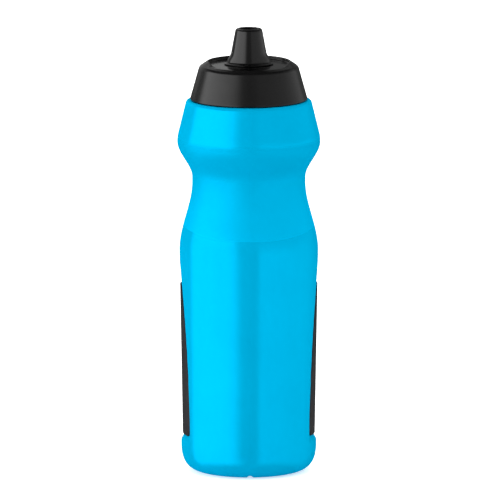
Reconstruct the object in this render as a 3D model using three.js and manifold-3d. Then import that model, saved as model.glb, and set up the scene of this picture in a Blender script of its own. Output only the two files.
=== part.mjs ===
// Sports squeeze bottle with a screw lid and a push-pull spout.
// Millimetres, +Z up, origin at the centre of the base. The front faces -Y, the grips are at -X and +X.
// Every outline is a list of [radius, height] pairs that is turned about the Z axis.

import * as THREE from "three";
import { mergeVertices } from "three/addons/utils/BufferGeometryUtils.js";
import Module from "manifold-3d";

const wasm = await Module();
wasm.setup();

// ---------------------------------------------------------------- driving dimensions

const BODY_FACETS = 40; // facets round the body, neck, lid and washer
const SPOUT_FACETS = 32; // facets round the spout and the valve tower
const GAP = 0.3; // free gap between pieces that rest on each other

const FOOT = {
  radius: 34.5, // wall radius just above the rounded foot
  contactRadius: 20.3, // where the foot's curve meets the table
  ringInnerRadius: 17.3, // inside edge of the flat ring that stands on the table
  height: 15.5, // height of the foot's curve
  squareness: 2.84, // exponent of the foot's superellipse
  pushUp: 4, // height of the domed centre
};
const GRASP = { radius: 35.4, height: 114.5 }; // widest place under the waist
const WAIST = { radius: 28.9, bottom: 149, top: 151.8 };
const BULGE = { radius: 36.5, height: 170, curvature: 0.0267 };
const SHOULDER = { slope: 0.246, ledgeHeight: 191.3, edgeRadius: 1.8 };
const NECK = { radius: 22.8, boreRadius: 21, lipHeight: 206, rootRadius: 0.8 };
const WALL = 1.2;

const THREAD = {
  lead: 4.5,
  turns: 1.25,
  startHeight: 196,
  depth: 1.2,
  rootWidth: 2,
  crestWidth: 1.1,
  fadeAngle: 0.35,
};

// The grip's outline, seen from the side: half an ellipse on top of a flat edge with round corners.
const GRIP = {
  halfWidth: 13.8,
  ellipseHeight: 74,
  centreHeight: 23.3,
  cornerRadius: 4,
  thickness: 1.8,
  baseRadius: 33.4, // outer radius of the grip, extended down to the table
  taper: 0.0175, // growth of that radius for each millimetre of height
  proud: 0.8, // how far the grip stands out of the recess round it
};
// The recess round a grip has its full depth out to fullAt times the grip's outline, and ends at
// endsAt times it.
const RECESS = { fullAt: 1.02, endsAt: 1.18, stepLow: 15.6, stepHigh: 19.2 };

const LID = {
  bottomHeight: 191.6,
  bottomRadius: 30.05,
  slope: 0.281, // radius lost for each millimetre of the skirt's height
  shoulderArc: { radius: 2.92, centreRadius: 22.8, centreHeight: 206.63 },
  rimHeight: 211.25,
  rimInnerRadius: 20.5,
  rimEdgeRadius: 0.5,
  skirtWall: 1.5,
  collarInnerRadius: 24.3,
  collarOuterRadius: 25.6,
  collarBottomHeight: 194.1,
  deckTop: 209.6,
  deckBottom: 208.1,
  deckFillet: 0.35,
  // The thicker middle of the deck, with a counterbore and a hole that the valve insert snaps into.
  bossRadius: 13.4,
  bossBottom: 206.6,
  counterboreRadius: 10.6,
  counterboreFloor: 208.2,
  holeRadius: 8.6,
};
const WASHER = { innerRadius: 20.7, outerRadius: 23.9, bottom: 206.3, top: 207.8, chamfer: 0.3 };

// The raised rim sinks into the deck towards the front, between these shares of the way from the
// side to the front, and sinkDepth is how much of its height it loses.
const RIM = { sinkFrom: 0.15, sinkTo: 0.65, sinkDepth: 0.95 };
const FLANGE = { radius: 10.3, top: 209.6, bottom: 208.5 };
const SNAP_RING = { innerRadius: 7.1, outerRadius: 8.3, barbRadius: 9, bottom: 205.6 };
const TOWER = {
  boreRadius: 4.3,
  radius: 5.8,
  bottom: 206.9,
  collarRadius: 6.4,
  collarBottom: 218.6,
  grooveRadius: 5.2,
  grooveBottom: 219.6,
  grooveTop: 221.2,
  top: 222.2,
};
const PLUG = { stemRadius: 1.8, stemBottom: 213, neckTop: 222.6, headRadius: 4.2, headTop: 226.6 };
const RIB = { count: 3, thickness: 1.2, height: 2.6, length: 3.4 };
const O_RING = { radius: 5.95, wire: 0.6, height: 220.4 };

const SPOUT = {
  bottom: 209.9,
  flangeRadius: 11.4,
  flangeEdge: 0.3,
  filletRadius: 1.5,
  neckRadius: 9.8,
  top: 228,
  topSlope: 0.187,
  lipRadius: 1.2,
  boreRadius: 6.6,
  beadRadius: 6.1,
  orificeRadius: 4.5,
  orificeBottom: 224.6,
  chamberTop: 223.5,
};
// The spout's foot sweeps out into two pulling tabs, at -X and +X, below the height top.
const TAB = { reach: 1.1, top: 215.6, bottom: 211.4, narrowness: 6 };

// ---------------------------------------------------------------- helpers

const smooth = (t) => t * t * (3 - 2 * t);
const mix = (a, b, t) => a + (b - a) * t;
const clamp01 = (t) => Math.min(1, Math.max(0, t));

// Points on an arc about [r, z], from angle a0 to a1 in degrees.
function arc(r, z, radius, a0, a1, steps) {
  const points = [];
  for (let i = 0; i <= steps; i++) {
    const a = THREE.MathUtils.degToRad(mix(a0, a1, i / steps));
    points.push([r + radius * Math.cos(a), z + radius * Math.sin(a)]);
  }
  return points;
}

// A closed outline turned about Z. The outline runs upwards on its outer side.
function turned(outline, facets) {
  const points = outline.map(([r, z]) => new THREE.Vector2(r, z));
  return new THREE.LatheGeometry(points, facets).rotateX(Math.PI / 2);
}

// A ring's outline, closed on itself.
const ring = (outline) => [...outline, outline[0]];

function toSolid(geometry) {
  const bare = geometry.clone();
  bare.deleteAttribute("normal");
  bare.deleteAttribute("uv");
  const merged = mergeVertices(bare, 1e-4);
  const corners = merged.index.array;
  const faces = [];
  for (let i = 0; i < corners.length; i += 3) {
    const [a, b, c] = corners.slice(i, i + 3);
    if (a !== b && b !== c && c !== a) {
      faces.push(a, b, c);
    }
  }
  const vertProperties = new Float32Array(merged.attributes.position.array);
  return new wasm.Manifold(new wasm.Mesh({ numProp: 3, vertProperties, triVerts: new Uint32Array(faces) }));
}

function toGeometry(solid) {
  const { vertProperties, triVerts } = solid.getMesh();
  const geometry = new THREE.BufferGeometry();
  geometry.setAttribute("position", new THREE.BufferAttribute(new Float32Array(vertProperties), 3));
  geometry.setIndex(new THREE.BufferAttribute(new Uint32Array(triVerts), 1));
  geometry.computeVertexNormals();
  return geometry;
}

// Moves each vertex of a geometry to where place(x, y, z) says.
function bend(geometry, place) {
  const position = geometry.attributes.position;
  for (let i = 0; i < position.count; i++) {
    position.setXYZ(i, ...place(position.getX(i), position.getY(i), position.getZ(i)));
  }
  return geometry;
}

// ---------------------------------------------------------------- body

// Outer radius of the round body, between the foot and the rounded shoulder edge.
function bodyRadius(z) {
  if (z < GRASP.height) {
    return mix(FOOT.radius, GRASP.radius, (z - FOOT.height) / (GRASP.height - FOOT.height));
  }
  if (z < WAIST.bottom) {
    return mix(GRASP.radius, WAIST.radius, smooth((z - GRASP.height) / (WAIST.bottom - GRASP.height)));
  }
  if (z < BULGE.height) {
    return mix(WAIST.radius, BULGE.radius, smooth(clamp01((z - WAIST.top) / (BULGE.height - WAIST.top))));
  }
  const curveEnd = SHOULDER.slope / (2 * BULGE.curvature); // where the bulge's curve runs into the shoulder
  const above = z - BULGE.height;
  if (above < curveEnd) {
    return BULGE.radius - BULGE.curvature * above ** 2;
  }
  return BULGE.radius - BULGE.curvature * curveEnd ** 2 - SHOULDER.slope * (above - curveEnd);
}

// Half the body's outline from the middle of the base to the ledge under the neck, set in by inset.
function bodyOutline(inset, footSteps, heights) {
  const cornerRadius = FOOT.radius - FOOT.contactRadius;
  const dome = arc(0, 0, 1, 90, 0, 4).map(([x, y]) => [
    x * (FOOT.ringInnerRadius + inset),
    y * FOOT.pushUp + inset,
  ]);
  const foot = [];
  for (let i = 0; i <= footSteps; i++) {
    const a = (Math.PI / 2) * (1 - i / footSteps);
    const power = 2 / FOOT.squareness;
    foot.push([
      FOOT.contactRadius + (cornerRadius - inset) * Math.cos(a) ** power,
      FOOT.height - (FOOT.height - inset) * Math.sin(a) ** power,
    ]);
  }
  const wall = heights.map((z) => [bodyRadius(z) - inset, z]);
  return [...dome, ...foot, ...wall, ...shoulderEdge(inset)];
}

// The rounded edge between the sloping shoulder and the flat ledge.
function shoulderEdge(inset) {
  const lean = Math.atan(SHOULDER.slope);
  const z = SHOULDER.ledgeHeight - SHOULDER.edgeRadius;
  const touch = z + SHOULDER.edgeRadius * Math.sin(lean);
  const r = bodyRadius(touch) - SHOULDER.edgeRadius * Math.cos(lean);
  return arc(r, z, SHOULDER.edgeRadius - inset, THREE.MathUtils.radToDeg(lean), 90, 4);
}

// How far the side recess lowers the wall at a place on it.
function recessDepth(y, z) {
  const q = Math.hypot(y / GRIP.halfWidth, (z - GRIP.centreHeight) / GRIP.ellipseHeight);
  const across = Math.abs(y) / GRIP.halfWidth;
  const spread = z > GRIP.centreHeight ? q : across;
  const inside = 1 - smooth(clamp01((spread - RECESS.fullAt) / (RECESS.endsAt - RECESS.fullAt)));
  const above = smooth(clamp01((z - RECESS.stepLow) / (RECESS.stepHigh - RECESS.stepLow)));
  const floor = GRIP.baseRadius + GRIP.taper * z - GRIP.proud;
  return inside * above * Math.max(0, bodyRadius(z) - floor);
}

function withRecess(geometry) {
  return bend(geometry, (x, y, z) => {
    if (z < RECESS.stepLow || z > GRASP.height) {
      return [x, y, z];
    }
    const radius = Math.hypot(x, y);
    const scale = (radius - recessDepth(y, z)) / radius;
    return [x * scale, y * scale, z];
  });
}

// The grip's outline, grown by offset, as a block that runs through from one X to the other.
function gripBlock(offset, x0, x1) {
  const { halfWidth, ellipseHeight, centreHeight, cornerRadius } = GRIP;
  const corner = cornerRadius + offset;
  const inset = halfWidth - cornerRadius;
  const outline = [
    ...arc(0, 0, 1, 0, 180, 20).map(([c, s]) => [
      (halfWidth + offset) * c,
      centreHeight + (ellipseHeight + offset) * s,
    ]),
    ...arc(-inset, centreHeight, corner, 180, 270, 4).slice(1),
    ...arc(inset, centreHeight, corner, 270, 360, 4).slice(0, -1),
  ];
  const shape = new THREE.Shape(outline.map(([y, z]) => new THREE.Vector2(y, z)));
  const block = new THREE.ExtrudeGeometry(shape, { depth: x1 - x0, bevelEnabled: false });
  const toSide = new THREE.Matrix4().makeBasis(
    new THREE.Vector3(0, 1, 0),
    new THREE.Vector3(0, 0, 1),
    new THREE.Vector3(1, 0, 0),
  );
  return toSolid(block.applyMatrix4(toSide).translate(x0, 0, 0));
}

// A tapering round core that is under the grip's outer surface by depth.
function gripCore(depth) {
  const [low, high] = [5, 105];
  const radiusAt = (z) => GRIP.baseRadius + GRIP.taper * z - depth;
  const outline = [
    [0, low],
    [radiusAt(low), low],
    [radiusAt(high), high],
    [0, high],
  ];
  return toSolid(turned(outline, BODY_FACETS));
}

// A screw thread's ridge, wound about Z. It stands out of a wall of the given radius, outwards
// where side is 1 and inwards where side is -1, and fades into the wall at both ends.
function threadRidge(wallRadius, side, startAngle, startHeight) {
  const { lead, turns, depth, rootWidth, crestWidth, fadeAngle } = THREAD;
  const sunk = 0.5;
  const section = new THREE.Shape([
    new THREE.Vector2(-sunk, -rootWidth / 2),
    new THREE.Vector2(depth, -crestWidth / 2),
    new THREE.Vector2(depth, crestWidth / 2),
    new THREE.Vector2(-sunk, rootWidth / 2),
  ]);
  const sweep = turns * 2 * Math.PI;
  const steps = Math.round(turns * BODY_FACETS);
  const ridge = new THREE.ExtrudeGeometry(section, { depth: sweep, steps, bevelEnabled: false });
  return toSolid(
    bend(ridge, (out, up, along) => {
      const turn = side > 0 ? sweep - along : along;
      const fade = Math.min(1, turn / fadeAngle, (sweep - turn) / fadeAngle);
      const height = out > 0 ? mix(-sunk / 2, out, fade) : out;
      const radius = wallRadius + side * height;
      const angle = startAngle + turn;
      const rise = (lead * turn) / (2 * Math.PI);
      return [radius * Math.cos(angle), radius * Math.sin(angle), startHeight + rise + up];
    }),
  );
}

function bottleBody() {
  const outerHeights = [
    17.4, 19.2, 34, 50, 66, 80, 90, 98, 104, 110, 114.5, 120, 126, 132, 138, 144, 149, 151.8, 156, 160, 164,
    168, 170, 172.5, 175, 183,
  ];
  const innerHeights = [
    17.4, 19.2, 40, 60, 80, 97, 105, 114.5, 123, 132, 141, 149, 151.8, 158, 164, 170, 175,
  ];
  const neckTop = [NECK.lipHeight - 0.6, NECK.lipHeight];
  const outer = [
    ...bodyOutline(0, 7, outerHeights),
    [NECK.radius + NECK.rootRadius, SHOULDER.ledgeHeight],
    [NECK.radius, SHOULDER.ledgeHeight + NECK.rootRadius],
    [NECK.radius, neckTop[0]],
    [NECK.radius - 0.6, neckTop[1]],
    [0, neckTop[1]],
  ];
  const cavity = [
    ...bodyOutline(WALL, 5, innerHeights),
    [NECK.boreRadius, SHOULDER.ledgeHeight - WALL],
    [NECK.boreRadius, NECK.lipHeight - 0.4],
    [NECK.boreRadius + 0.8, NECK.lipHeight + 0.4],
    [0, NECK.lipHeight + 0.4],
  ];
  const pocket = (depth, offset) => gripBlock(GAP + offset, -40, 40).subtract(gripCore(depth + offset));
  const gripSeat = GRIP.thickness + GAP;
  const skin = toSolid(withRecess(turned(outer, BODY_FACETS)));
  const hollow = toSolid(withRecess(turned(cavity, BODY_FACETS)));
  const thread = threadRidge(NECK.radius, 1, 0, THREAD.startHeight);
  return toGeometry(
    skin
      .add(thread)
      .subtract(pocket(gripSeat, 0))
      .subtract(hollow.subtract(pocket(gripSeat, WALL))),
  );
}

function grip() {
  const plate = toSolid(turned(gripPlateOutline(), BODY_FACETS));
  return toGeometry(plate.intersect(gripBlock(0, 20, 40)));
}

// A tapering sleeve, as thick as the grips, that the grips are cut from.
function gripPlateOutline() {
  const [low, high] = [5, 105];
  const radiusAt = (z) => GRIP.baseRadius + GRIP.taper * z;
  return ring([
    [radiusAt(low) - GRIP.thickness, low],
    [radiusAt(low), low],
    [radiusAt(high), high],
    [radiusAt(high) - GRIP.thickness, high],
  ]);
}

// ---------------------------------------------------------------- lid

// Height of a place on the raised rim, once the rim has sunk towards the front.
function rimHeight(x, y, z) {
  const shoulder = LID.shoulderArc;
  const radius = Math.hypot(x, y);
  const over = Math.max(0, radius - shoulder.centreRadius);
  if (radius < LID.rimInnerRadius - LID.deckFillet || over > shoulder.radius) {
    return z;
  }
  const under = Math.min(LID.deckTop, shoulder.centreHeight + Math.sqrt(shoulder.radius ** 2 - over ** 2));
  const front = smooth(clamp01((-y / radius - RIM.sinkFrom) / (RIM.sinkTo - RIM.sinkFrom)));
  return z > under ? mix(z, under, RIM.sinkDepth * front) : z;
}

function lidShell() {
  const shoulder = LID.shoulderArc;
  const lean = THREE.MathUtils.radToDeg(Math.atan(LID.slope));
  const skirtInside = (z) => LID.bottomRadius - LID.skirtWall - LID.slope * (z - LID.bottomHeight);
  const pocketWidth = 0.5; // of the space between skirt and collar, at its closed end
  const pocketTop =
    LID.bottomHeight + (skirtInside(LID.bottomHeight) - LID.collarOuterRadius - pocketWidth) / LID.slope;
  const rimCentre = LID.rimInnerRadius + LID.rimEdgeRadius;
  const roundedEdge = arc(shoulder.centreRadius, shoulder.centreHeight, shoulder.radius, lean, 66, 4);
  const rimEdge = arc(rimCentre, LID.rimHeight - LID.rimEdgeRadius, LID.rimEdgeRadius, 60, 180, 4);
  const [slopeFoot, slopeTop] = [roundedEdge.at(-1), rimEdge[0]];
  const outline = [
    [skirtInside(LID.bottomHeight), LID.bottomHeight],
    [LID.bottomRadius, LID.bottomHeight],
    ...roundedEdge,
    [mix(slopeFoot[0], slopeTop[0], 0.45), mix(slopeFoot[1], slopeTop[1], 0.45)],
    ...rimEdge,
    ...arc(LID.rimInnerRadius - LID.deckFillet, LID.deckTop + LID.deckFillet, LID.deckFillet, 0, -90, 3),
    [LID.counterboreRadius, LID.deckTop],
    [LID.counterboreRadius, LID.counterboreFloor],
    [LID.holeRadius, LID.counterboreFloor],
    [LID.holeRadius, LID.bossBottom],
    [LID.bossRadius - 0.5, LID.bossBottom],
    [LID.bossRadius, LID.deckBottom],
    [LID.collarInnerRadius, LID.deckBottom],
    [LID.collarInnerRadius, LID.collarBottomHeight + 0.4],
    [LID.collarInnerRadius + 0.4, LID.collarBottomHeight],
    [LID.collarOuterRadius, LID.collarBottomHeight],
    [LID.collarOuterRadius, pocketTop],
    [skirtInside(pocketTop), pocketTop],
  ];
  // Half a turn round from the neck's ridge and no higher, so it runs half a lead below that ridge.
  const thread = threadRidge(LID.collarInnerRadius, -1, Math.PI, THREAD.startHeight);
  const turnedLid = bend(turned(ring(outline), BODY_FACETS), (x, y, z) => [x, y, rimHeight(x, y, z)]);
  return toGeometry(toSolid(turnedLid).add(thread));
}

function lidGasket() {
  const { innerRadius, outerRadius, bottom, top, chamfer } = WASHER;
  return turned(
    ring([
      [innerRadius, bottom],
      [outerRadius - chamfer, bottom],
      [outerRadius, bottom + chamfer],
      [outerRadius, top - chamfer],
      [outerRadius - chamfer, top],
      [innerRadius, top],
    ]),
    BODY_FACETS,
  );
}

// ---------------------------------------------------------------- valve and spout

function valveInsert() {
  const edge = 0.2;
  const barbTop = LID.bossBottom - GAP;
  const outline = [
    [TOWER.boreRadius, TOWER.bottom],
    [TOWER.radius, TOWER.bottom],
    [TOWER.radius, FLANGE.bottom],
    [SNAP_RING.innerRadius, FLANGE.bottom],
    [SNAP_RING.innerRadius, SNAP_RING.bottom],
    [SNAP_RING.outerRadius - 0.4, SNAP_RING.bottom],
    [SNAP_RING.barbRadius, SNAP_RING.bottom + 0.4],
    [SNAP_RING.barbRadius, barbTop],
    [SNAP_RING.outerRadius, barbTop],
    [SNAP_RING.outerRadius, FLANGE.bottom],
    [FLANGE.radius, FLANGE.bottom],
    [FLANGE.radius, FLANGE.top - edge],
    [FLANGE.radius - edge, FLANGE.top],
    [TOWER.radius + 0.5, FLANGE.top],
    [TOWER.radius, FLANGE.top + 0.5],
    [TOWER.radius, TOWER.collarBottom],
    [TOWER.collarRadius, TOWER.collarBottom],
    [TOWER.collarRadius, TOWER.grooveBottom],
    [TOWER.grooveRadius, TOWER.grooveBottom],
    [TOWER.grooveRadius, TOWER.grooveTop],
    [TOWER.collarRadius, TOWER.grooveTop],
    [TOWER.collarRadius, TOWER.top - edge],
    [TOWER.collarRadius - edge, TOWER.top],
    [TOWER.boreRadius, TOWER.top],
  ];
  const plug = [
    [0, PLUG.stemBottom],
    [PLUG.stemRadius, PLUG.stemBottom],
    [PLUG.stemRadius, PLUG.neckTop],
    [PLUG.headRadius, PLUG.headTop - 1.6],
    [PLUG.headRadius, PLUG.headTop - 0.4],
    [PLUG.headRadius - 0.4, PLUG.headTop],
    [0, PLUG.headTop],
  ];
  let solid = toSolid(turned(ring(outline), SPOUT_FACETS)).add(toSolid(turned(plug, SPOUT_FACETS)));
  for (let i = 0; i < RIB.count; i++) {
    const rib = new THREE.BoxGeometry(RIB.length, RIB.thickness, RIB.height);
    rib.translate(PLUG.stemRadius - 0.4 + RIB.length / 2, 0, PLUG.stemBottom + RIB.height / 2);
    solid = solid.add(toSolid(rib.rotateZ((i * 2 * Math.PI) / RIB.count)));
  }
  return toGeometry(solid);
}

function spoutSeal() {
  return new THREE.TorusGeometry(O_RING.radius, O_RING.wire, 8, SPOUT_FACETS).translate(0, 0, O_RING.height);
}

// How far the pulling tabs stand out of the round spout at a place on its outer side.
function tabReach(x, y, z) {
  const along = Math.abs(x) / Math.hypot(x, y);
  return TAB.reach * along ** TAB.narrowness * smooth(clamp01((TAB.top - z) / (TAB.top - TAB.bottom)));
}

function spout() {
  const { bottom, top, boreRadius, beadRadius, orificeRadius, filletRadius } = SPOUT;
  const lean = Math.atan(SPOUT.topSlope);
  const leanDegrees = THREE.MathUtils.radToDeg(lean);
  const coneFoot = bottom + SPOUT.flangeEdge + filletRadius;
  const coneRadius = (z) => SPOUT.neckRadius - SPOUT.topSlope * (z - coneFoot);
  const lipCentre = top - SPOUT.lipRadius;
  const lipTouch = lipCentre + SPOUT.lipRadius * Math.sin(lean);
  const lipRadius = coneRadius(lipTouch) - SPOUT.lipRadius * Math.cos(lean);
  const geometry = turned(
    ring([
      [boreRadius + 0.6, bottom],
      [SPOUT.flangeRadius, bottom],
      [SPOUT.flangeRadius, bottom + SPOUT.flangeEdge],
      ...arc(SPOUT.neckRadius + filletRadius, coneFoot, filletRadius, 270, 180 + leanDegrees, 3),
      ...[213, 214, 215].map((z) => [coneRadius(z), z]),
      ...arc(lipRadius, lipCentre, SPOUT.lipRadius, leanDegrees, 90, 4),
      [orificeRadius + 0.5, top],
      [orificeRadius, top - 0.5],
      [orificeRadius, SPOUT.orificeBottom],
      [boreRadius, SPOUT.chamberTop],
      [boreRadius, bottom + 2.6],
      [beadRadius, bottom + 2.2],
      [beadRadius, bottom + 1.4],
      [boreRadius, bottom + 0.9],
    ]),
    SPOUT_FACETS,
  );
  return bend(geometry, (x, y, z) => {
    const radius = Math.hypot(x, y);
    const scale = radius > boreRadius + 1 ? 1 + tabReach(x, y, z) / radius : 1;
    return [x * scale, y * scale, z];
  });
}

// ---------------------------------------------------------------- assembly

const MATERIALS = {
  body: { color: 0x00b9ea, roughness: 0.28, metalness: 0 },
  rubber: { color: 0x2b2b2f, roughness: 0.85, metalness: 0 },
  lid: { color: 0x1b1c1e, roughness: 0.38, metalness: 0 },
  silicone: { color: 0xd8dadb, roughness: 0.6, metalness: 0 },
};

function piece(name, geometry, material) {
  const mesh = new THREE.Mesh(geometry, new THREE.MeshStandardMaterial(MATERIALS[material]));
  mesh.name = name;
  return mesh;
}

const body = new THREE.Group();
body.add(piece("bottle_body", bottleBody(), "body"));
const rightGrip = piece("grip_right", grip(), "rubber");
const leftGrip = piece("grip_left", grip(), "rubber");
leftGrip.rotation.z = Math.PI;
body.add(rightGrip, leftGrip);

const lid = new THREE.Group();
lid.add(piece("lid_shell", lidShell(), "lid"));
lid.add(piece("lid_gasket", lidGasket(), "silicone"));
lid.add(piece("valve_insert", valveInsert(), "lid"));
lid.add(piece("spout_seal", spoutSeal(), "rubber"));
lid.add(piece("spout", spout(), "lid"));

const bottle = new THREE.Group();
bottle.add(body, lid);

export default bottle;
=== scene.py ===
"""Looks of the sports squeeze bottle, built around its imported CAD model.

Shapes are written in millimetres and made in metres, in the row frame: +Z up, the front faces -Y,
the grips are at -X and +X, and the origin is the centre of the base.
"""

import math

import bpy
import numpy as np
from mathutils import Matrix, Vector


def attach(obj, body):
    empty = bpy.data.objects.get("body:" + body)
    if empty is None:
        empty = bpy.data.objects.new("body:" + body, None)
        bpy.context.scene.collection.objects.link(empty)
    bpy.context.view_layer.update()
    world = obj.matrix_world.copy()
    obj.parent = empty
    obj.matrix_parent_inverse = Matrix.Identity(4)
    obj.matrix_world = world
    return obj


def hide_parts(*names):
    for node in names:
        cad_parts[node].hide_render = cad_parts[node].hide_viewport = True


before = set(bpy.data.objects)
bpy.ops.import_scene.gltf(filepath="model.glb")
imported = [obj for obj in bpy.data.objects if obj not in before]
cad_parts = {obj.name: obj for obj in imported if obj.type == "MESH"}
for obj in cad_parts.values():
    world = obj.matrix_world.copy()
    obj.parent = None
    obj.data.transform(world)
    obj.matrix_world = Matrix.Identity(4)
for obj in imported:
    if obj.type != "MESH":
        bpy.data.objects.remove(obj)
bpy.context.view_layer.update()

MM = 0.001

# ------------------------------------------------------------------ outlines
# An outline is a list of (radius, height) points, and runs upwards on its outer side.


def arc(r, z, radius, start, end, steps):
    """Points on an arc about (r, z), from one angle to another in degrees."""
    turns = np.radians(np.linspace(start, end, steps + 1))
    return [(r + radius * math.cos(a), z + radius * math.sin(a)) for a in turns]


def rounded(corners, steps=6):
    """A closed outline from corners (r, z) or (r, z, fillet radius), with the fillets put in."""
    outline = []
    count = len(corners)
    for i, corner in enumerate(corners):
        here = np.array(corner[:2], float)
        radius = corner[2] if len(corner) > 2 else 0
        if radius == 0:
            outline.append(tuple(here))
            continue
        back = np.array(corners[i - 1][:2], float) - here
        ahead = np.array(corners[(i + 1) % count][:2], float) - here
        room = 0.49 * min(np.linalg.norm(back), np.linalg.norm(ahead))
        back /= np.linalg.norm(back)
        ahead /= np.linalg.norm(ahead)
        half = math.acos(np.clip(back @ ahead, -1, 1)) / 2
        cut = min(radius / math.tan(half), room)
        size = cut * math.tan(half)
        middle = (back + ahead) / np.linalg.norm(back + ahead)
        centre = here + middle * math.hypot(cut, size)
        first, last = here + back * cut - centre, here + ahead * cut - centre
        start = math.atan2(first[1], first[0])
        sweep = math.atan2(last[1], last[0]) - start
        sweep = (sweep + math.pi) % (2 * math.pi) - math.pi
        for k in range(steps + 1):
            a = start + sweep * k / steps
            outline.append((centre[0] + size * math.cos(a), centre[1] + size * math.sin(a)))
    return outline


def spread(outline, step, closed=True):
    """The same outline with its long stretches split into lengths of at most step."""
    points = []
    ends = outline[1:] + (outline[:1] if closed else [])
    for start, end in zip(outline, ends):
        pieces = max(1, math.ceil(math.dist(start, end) / step))
        for t in np.arange(pieces) / pieces:
            points.append((start[0] + (end[0] - start[0]) * t, start[1] + (end[1] - start[1]) * t))
    return points if closed else points + [outline[-1]]


# ------------------------------------------------------------------ meshes


def revolved(outline, angles, place=None, closed=True):
    """Points and faces of an outline turned about Z. place(r, z, a, row) may move each point."""
    rows, columns = len(outline), len(angles)
    r, z = np.array(outline, float).T[:, :, None] * np.ones(columns)
    a = np.ones((rows, 1)) * np.array(angles)
    if place:
        r, z = place(r, z, a, np.arange(rows)[:, None])
    points = np.stack([r * np.cos(a), r * np.sin(a), z], -1).reshape(-1, 3)
    index = np.arange(rows * columns).reshape(rows, columns)
    if not closed:
        index[0], index[-1] = index[0, 0], index[-1, 0]
    ring = np.vstack([index, index[:1]]) if closed else index
    low, high = ring[:-1], ring[1:]
    quads = np.stack([low, np.roll(low, -1, 1), np.roll(high, -1, 1), high], -1).reshape(-1, 4)
    faces = [tuple(dict.fromkeys(quad)) for quad in quads.tolist()]
    used = sorted({i for face in faces for i in face})
    renamed = dict(zip(used, range(len(used))))
    return points[used], [tuple(renamed[i] for i in face) for face in faces]


def add_mesh(name, points, faces):
    """An object from points in millimetres."""
    mesh = bpy.data.meshes.new(name)
    mesh.from_pydata((np.asarray(points) * MM).tolist(), [], faces)
    mesh.validate()
    obj = bpy.data.objects.new(name, mesh)
    bpy.context.scene.collection.objects.link(obj)
    return obj


def combine(obj, others, operation):
    """Applies a boolean with each of the other objects, and deletes them."""
    for other in others:
        modifier = obj.modifiers.new("boolean", "BOOLEAN")
        modifier.operation, modifier.solver, modifier.object = operation, "MANIFOLD", other
        graph = bpy.context.evaluated_depsgraph_get()
        result = bpy.data.meshes.new_from_object(obj.evaluated_get(graph))
        obj.modifiers.clear()
        obj.data = result
        bpy.data.objects.remove(other)


def finished(obj, node, body, material, sharp=32):
    """Smooth shading, the material, and what the piece stands for."""
    mesh = obj.data
    mesh.name = obj.name
    mesh.polygons.foreach_set("use_smooth", [True] * len(mesh.polygons))
    mesh.set_sharp_from_angle(angle=math.radians(sharp))
    mesh.materials.clear()
    mesh.materials.append(material)
    normals = obj.modifiers.new("even normals", "WEIGHTED_NORMAL")
    normals.keep_sharp = True
    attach(obj, body)
    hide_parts(node)
    return obj


def smooth(t):
    t = np.clip(t, 0, 1)
    return t * t * (3 - 2 * t)


# ------------------------------------------------------------------ body dimensions

WALL = 1.2
FOOT_RADIUS, FOOT_CONTACT, FOOT_RING, FOOT_HEIGHT = 34.5, 20.3, 17.3, 15.5
FOOT_POWER = 2 / 2.84
PUSH_UP = 4.0
GRASP_RADIUS, GRASP_HEIGHT = 35.4, 114.5
WAIST_RADIUS, WAIST_LOW, WAIST_HIGH = 28.9, 149.0, 151.8
BULGE_RADIUS, BULGE_HEIGHT, BULGE_CURVATURE = 36.5, 170.0, 0.0267
SHOULDER_SLOPE, LEDGE_HEIGHT, SHOULDER_EDGE = 0.246, 191.3, 1.8
NECK_RADIUS, NECK_BORE, NECK_TOP = 22.8, 21.0, 206.0

THREAD_LEAD, THREAD_TURNS, THREAD_START, THREAD_DEPTH = 4.5, 1.25, 196.0, 1.2
THREAD_ROOT, THREAD_CREST, THREAD_FADE = 1.0, 0.5, 0.35

GRIP_HALF, GRIP_RISE, GRIP_CENTRE, GRIP_CORNER = 13.8, 74.0, 23.3, 4.0
GRIP_THICKNESS, GRIP_BASE, GRIP_TAPER, GRIP_PROUD = 1.8, 33.4, 0.0175, 0.8
GRIP_GAP = 0.12
# The recess round a grip has its full depth out to RECESS_FULL times the grip's outline.
RECESS_FULL, RECESS_END, RECESS_LOW, RECESS_HIGH = 1.02, 1.18, 15.6, 19.2
BACKING_FULL, BACKING_END, BACKING_LOW = 1.13, 1.38, 14  # the thicker wall behind a grip

PARTING_WIDTH, PARTING_PROUD, PARTING_ON_BULGE = 0.22, 0.022, 0.03
PINCH_WIDTH, PINCH_DEPTH, PINCH_REACH = 0.5, 0.45, 15.5
NOTCH_HALF, NOTCH_DEPTH, NOTCH_TOP, NOTCH_INNER = 0.5, 0.8, 2.6, 14


def body_radius(z):
    """Outer radius of the round body, between the foot and the rounded shoulder edge."""
    lower = FOOT_RADIUS + (GRASP_RADIUS - FOOT_RADIUS) * (z - FOOT_HEIGHT) / (
        GRASP_HEIGHT - FOOT_HEIGHT
    )
    narrowing = smooth((z - GRASP_HEIGHT) / (WAIST_LOW - GRASP_HEIGHT))
    widening = smooth((z - WAIST_HIGH) / (BULGE_HEIGHT - WAIST_HIGH))
    waist = GRASP_RADIUS + (WAIST_RADIUS - GRASP_RADIUS) * narrowing
    bulge = WAIST_RADIUS + (BULGE_RADIUS - WAIST_RADIUS) * widening
    curve_end = SHOULDER_SLOPE / (2 * BULGE_CURVATURE)
    above = z - BULGE_HEIGHT
    curved = BULGE_RADIUS - BULGE_CURVATURE * np.minimum(above, curve_end) ** 2
    shoulder = curved - SHOULDER_SLOPE * np.maximum(0, above - curve_end)
    return np.select(
        [z < GRASP_HEIGHT, z < WAIST_HIGH, z < BULGE_HEIGHT], [lower, waist, bulge], shoulder
    )


def grip_face(z):
    """Outer radius of the grips."""
    return GRIP_BASE + GRIP_TAPER * z


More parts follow.
